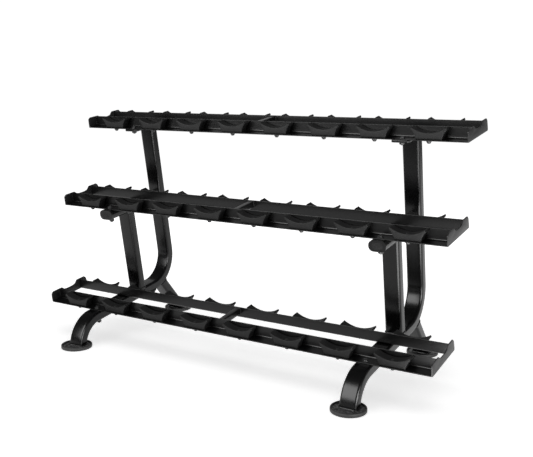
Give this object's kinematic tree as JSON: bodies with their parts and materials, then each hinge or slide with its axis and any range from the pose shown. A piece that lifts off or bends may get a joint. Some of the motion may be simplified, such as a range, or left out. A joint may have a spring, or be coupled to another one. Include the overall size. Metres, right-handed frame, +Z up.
{
  "type": "dumbbell rack",
  "caption": "Tiered storage rack with sloping folded-rail shelves and moulded cradles for round-headed dumbbells, on two bent-tube side frames with disc feet.",
  "frame": {"origin": "on the floor, midway between the two side frames and midway between the front and rear feet", "axes": "+X along the shelves to the right seen from the front, +Y to the back, +Z up"},
  "size_m": [2.106, 0.972, 1.1526],
  "materials": {
    "frame_coat": "black powder coat, satin, slightly orange-peeled, on welded steel tube",
    "shelf_coat": "black powder coat, semi-gloss, on folded steel sheet",
    "end_plate_coat": "black powder coat, satin, on cut steel plate",
    "cradle_plastic": "black moulded plastic with a fine grain",
    "foot_rubber": "black moulded rubber, dull",
    "foot_plate_coat": "black powder coat on a round steel plate"
  },
  "bodies": {
    "root": {"bottom_cross_brace": "shelf_coat", "bottom_end_plate_left": "end_plate_coat", "bottom_end_plate_right": "end_plate_coat", "bottom_front_cradles_1_2": "cradle_plastic", "bottom_front_cradles_3_4": "cradle_plastic", "bottom_front_cradles_5_6": "cradle_plastic", "bottom_front_cradles_7_8": "cradle_plastic", "bottom_front_rail": "shelf_coat", "bottom_rear_cradles_1_2": "cradle_plastic", "bottom_rear_cradles_3_4": "cradle_plastic", "bottom_rear_cradles_5_6": "cradle_plastic", "bottom_rear_cradles_7_8": "cradle_plastic", "bottom_rear_rail": "shelf_coat", "left_front_foot_pad": "foot_rubber", "left_front_foot_plate": "foot_plate_coat", "left_front_upright": "frame_coat", "left_main_tube": "frame_coat", "left_middle_arm": "frame_coat", "left_rear_foot_pad": "foot_rubber", "left_rear_foot_plate": "foot_plate_coat", "left_rear_leg": "frame_coat", "left_top_plate": "frame_coat", "middle_cross_brace": "shelf_coat", "middle_end_plate_left": "end_plate_coat", "middle_end_plate_right": "end_plate_coat", "middle_front_cradles_1_2": "cradle_plastic", "middle_front_cradles_3_4": "cradle_plastic", "middle_front_cradles_5_6": "cradle_plastic", "middle_front_cradles_7_8": "cradle_plastic", "middle_front_rail": "shelf_coat", "middle_rear_cradles_1_2": "cradle_plastic", "middle_rear_cradles_3_4": "cradle_plastic", "middle_rear_cradles_5_6": "cradle_plastic", "middle_rear_cradles_7_8": "cradle_plastic", "middle_rear_rail": "shelf_coat", "right_front_foot_pad": "foot_rubber", "right_front_foot_plate": "foot_plate_coat", "right_front_upright": "frame_coat", "right_main_tube": "frame_coat", "right_middle_arm": "frame_coat", "right_rear_foot_pad": "foot_rubber", "right_rear_foot_plate": "foot_plate_coat", "right_rear_leg": "frame_coat", "right_top_plate": "frame_coat", "top_cross_brace": "shelf_coat", "top_end_plate_left": "end_plate_coat", "top_end_plate_right": "end_plate_coat", "top_front_cradles_1_2": "cradle_plastic", "top_front_cradles_3_4": "cradle_plastic", "top_front_cradles_5_6": "cradle_plastic", "top_front_cradles_7_8": "cradle_plastic", "top_front_rail": "shelf_coat", "top_rear_cradles_1_2": "cradle_plastic", "top_rear_cradles_3_4": "cradle_plastic", "top_rear_cradles_5_6": "cradle_plastic", "top_rear_cradles_7_8": "cradle_plastic", "top_rear_rail": "shelf_coat"}
  },
  "joints": []
}
